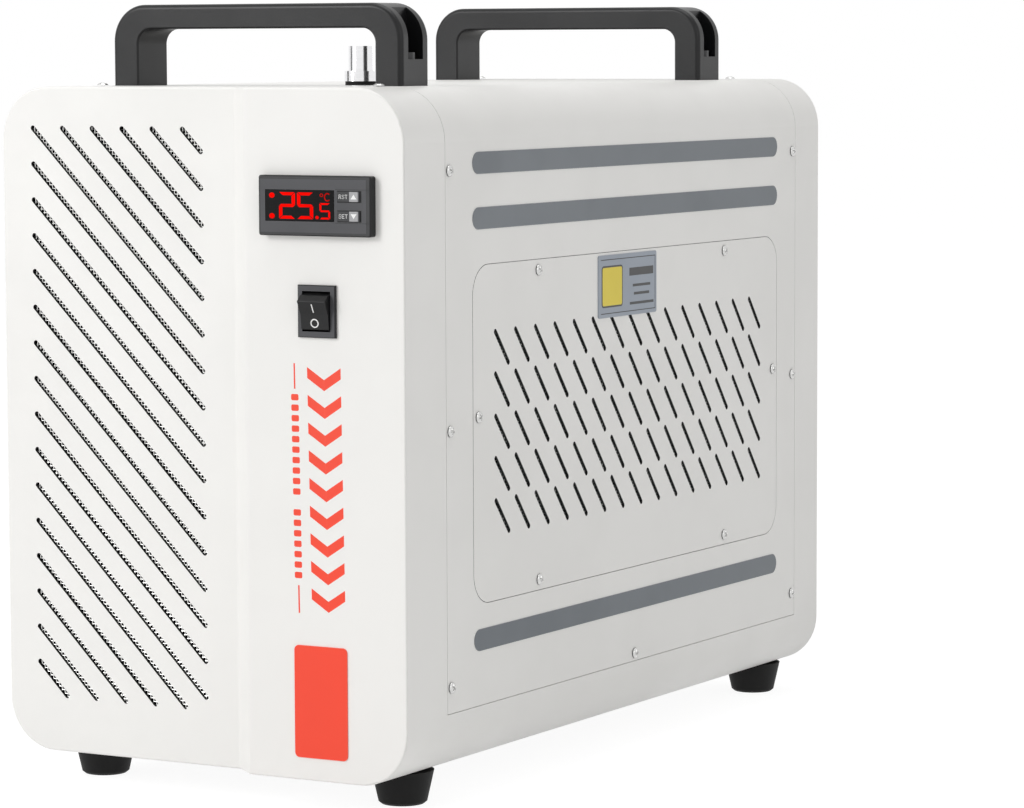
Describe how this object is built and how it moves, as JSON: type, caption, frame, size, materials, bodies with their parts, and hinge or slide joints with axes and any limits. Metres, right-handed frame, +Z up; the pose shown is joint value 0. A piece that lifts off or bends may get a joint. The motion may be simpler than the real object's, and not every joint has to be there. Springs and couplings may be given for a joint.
{
  "type": "recirculating chiller",
  "caption": "Upright water chiller in a louvred steel casing with carry handles, a digital controller, a rocker switch, a tank, a pump and a cooling circuit.",
  "frame": {"origin": "on the floor under the middle of the bounding box", "axes": "+X to the right seen from the front, +Y from the front to the back, +Z up"},
  "size_m": [0.294, 0.5814, 0.472],
  "materials": {
    "white_paint": "white powder coat",
    "blue_paint": "blue-grey satin film",
    "red_paint": "red gloss",
    "black_paint": "black satin paint",
    "grey_plastic": "mid-grey moulded",
    "black_plastic": "near-black fine grain",
    "white_plastic": "white moulded",
    "smoked_glass": "smoked, polished",
    "rubber": "black matt",
    "bright_steel": "plated",
    "stainless": "fine brushed",
    "galvanised": "zinc coated",
    "aluminium": "mill finish",
    "chrome": "polished",
    "brass": "turned",
    "copper": "drawn copper tube"
  },
  "bodies": {
    "casing": {"alarm_socket": "black_plastic", "casing_screws": "bright_steel", "chassis_shell": "white_paint", "compressor": "black_paint", "compressor_grommets": "rubber", "compressor_studs": "bright_steel", "condenser_core": "aluminium", "condenser_fins": "aluminium", "controller_body": "grey_plastic", "display_window": "smoked_glass", "drain_fitting": "brass", "evaporator": "stainless", "fan_guard": "black_paint", "fan_motor": "black_paint", "fan_shroud": "galvanised", "filler_gasket": "rubber", "filler_neck": "chrome", "filter_drier": "copper", "float_stem": "stainless", "foot_front_left": "rubber", "foot_front_right": "rubber", "foot_rear_left": "rubber", "foot_rear_right": "rubber", "foot_screws": "bright_steel", "front_badge": "red_paint", "front_dust_screen": "galvanised", "front_fascia": "white_paint", "front_handle": "black_plastic", "handle_bolts": "bright_steel", "left_access_panel": "white_paint", "left_dust_screen": "galvanised", "power_inlet": "black_plastic", "pump_motor": "black_paint", "pump_volute": "grey_plastic", "rear_handle": "black_plastic", "rear_panel": "white_paint", "refrigerant_pipes": "copper", "right_access_panel": "white_paint", "right_dust_screen": "galvanised", "run_capacitor": "aluminium", "side_plate": "blue_paint", "side_stripes": "blue_paint", "switch_frame": "grey_plastic", "tank_lid": "stainless", "terminal_cover": "black_plastic", "top_cover": "white_paint", "water_hoses": "rubber", "water_inlet": "brass", "water_outlet": "brass", "water_tank": "stainless"},
    "rocker": {"switch_rocker": "black_plastic"},
    "upper_button": {"reset_button": "grey_plastic"},
    "lower_button": {"set_button": "grey_plastic"},
    "fan_rotor": {"fan_blades": "black_plastic"},
    "impeller": {"pump_impeller": "white_plastic"},
    "filler_closure": {"filler_cap": "chrome"},
    "drain_closure": {"drain_cap": "black_plastic"},
    "fuse_tray": {"fuse_drawer": "black_plastic"},
    "float": {"level_float": "white_plastic"}
  },
  "joints": [
    {"name": "rocker_hinge", "type": "hinge", "parent": "casing", "child": "rocker", "pos_m": [0.0867, -0.28073, 0.2944], "axis": [-1, 0, 0], "range_deg": [0, 32]},
    {"name": "upper_button_slide", "type": "slide", "parent": "casing", "child": "upper_button", "axis": [0, 1, 0], "range_m": [0, 0.0008], "stiffness_N_per_m": 300},
    {"name": "lower_button_slide", "type": "slide", "parent": "casing", "child": "lower_button", "axis": [0, 1, 0], "range_m": [0, 0.0008], "stiffness_N_per_m": 300},
    {"name": "fan_spin", "type": "hinge", "parent": "casing", "child": "fan_rotor", "pos_m": [0, 0.23827, 0.26], "axis": [0, 1, 0], "continuous": true},
    {"name": "pump_spin", "type": "hinge", "parent": "casing", "child": "impeller", "pos_m": [-0.07, -0.16273, 0.07], "axis": [1, 0, 0], "continuous": true},
    {"name": "filler_cap_lift", "type": "slide", "parent": "casing", "child": "filler_closure", "axis": [0, 0, 1], "range_m": [0, 0.03]},
    {"name": "drain_cap_pull", "type": "slide", "parent": "casing", "child": "drain_closure", "axis": [0, 1, 0], "range_m": [0, 0.02]},
    {"name": "fuse_tray_slide", "type": "slide", "parent": "casing", "child": "fuse_tray", "axis": [0, 1, 0], "range_m": [0, 0.018]},
    {"name": "float_rise", "type": "slide", "parent": "casing", "child": "float", "axis": [0, 0, 1], "range_m": [0, 0.015]}
  ]
}
